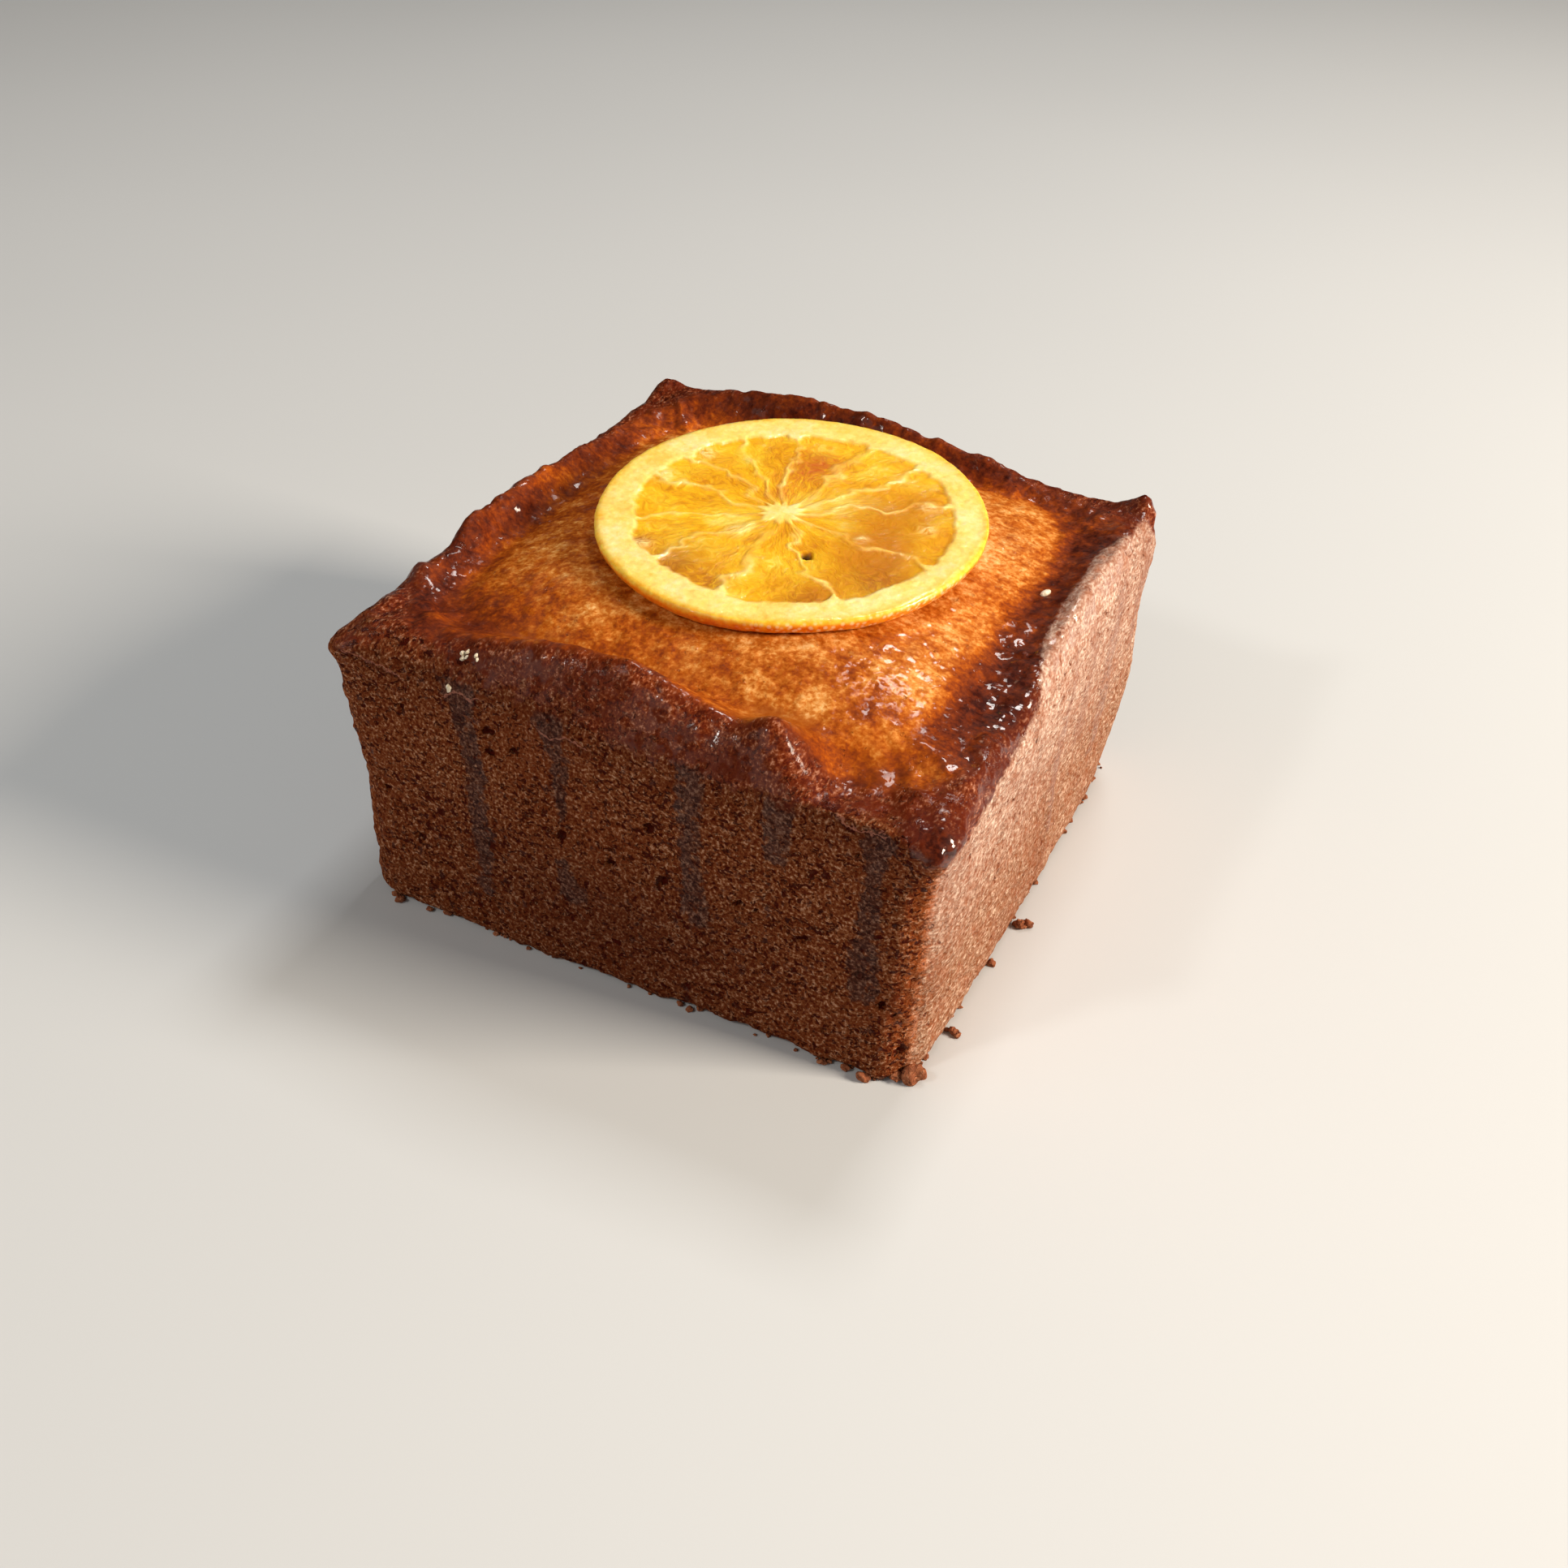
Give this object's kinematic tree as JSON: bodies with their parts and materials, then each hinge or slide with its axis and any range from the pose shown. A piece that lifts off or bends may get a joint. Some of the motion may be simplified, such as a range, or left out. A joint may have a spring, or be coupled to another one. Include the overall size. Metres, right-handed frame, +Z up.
{
  "type": "small square ginger cake",
  "caption": "Square moist ginger cake with a low glazed dome inside a raised dark rim, topped by a candied orange slice. Free-standing food, rests on its flat base.",
  "frame": {"origin": "centre of the flat base", "axes": "+X to the right along the dark front face, +Y from the front face to the back face, +Z up"},
  "size_m": [0.0916, 0.0916, 0.0548],
  "materials": {
    "cake_crumb": "rough open crumb on the faces, sticky syrup glaze over the top",
    "orange_slice": "wet candied fruit, slightly translucent"
  },
  "bodies": {
    "root": {"cake": "cake_crumb", "orange_slice": "orange_slice"}
  },
  "joints": []
}
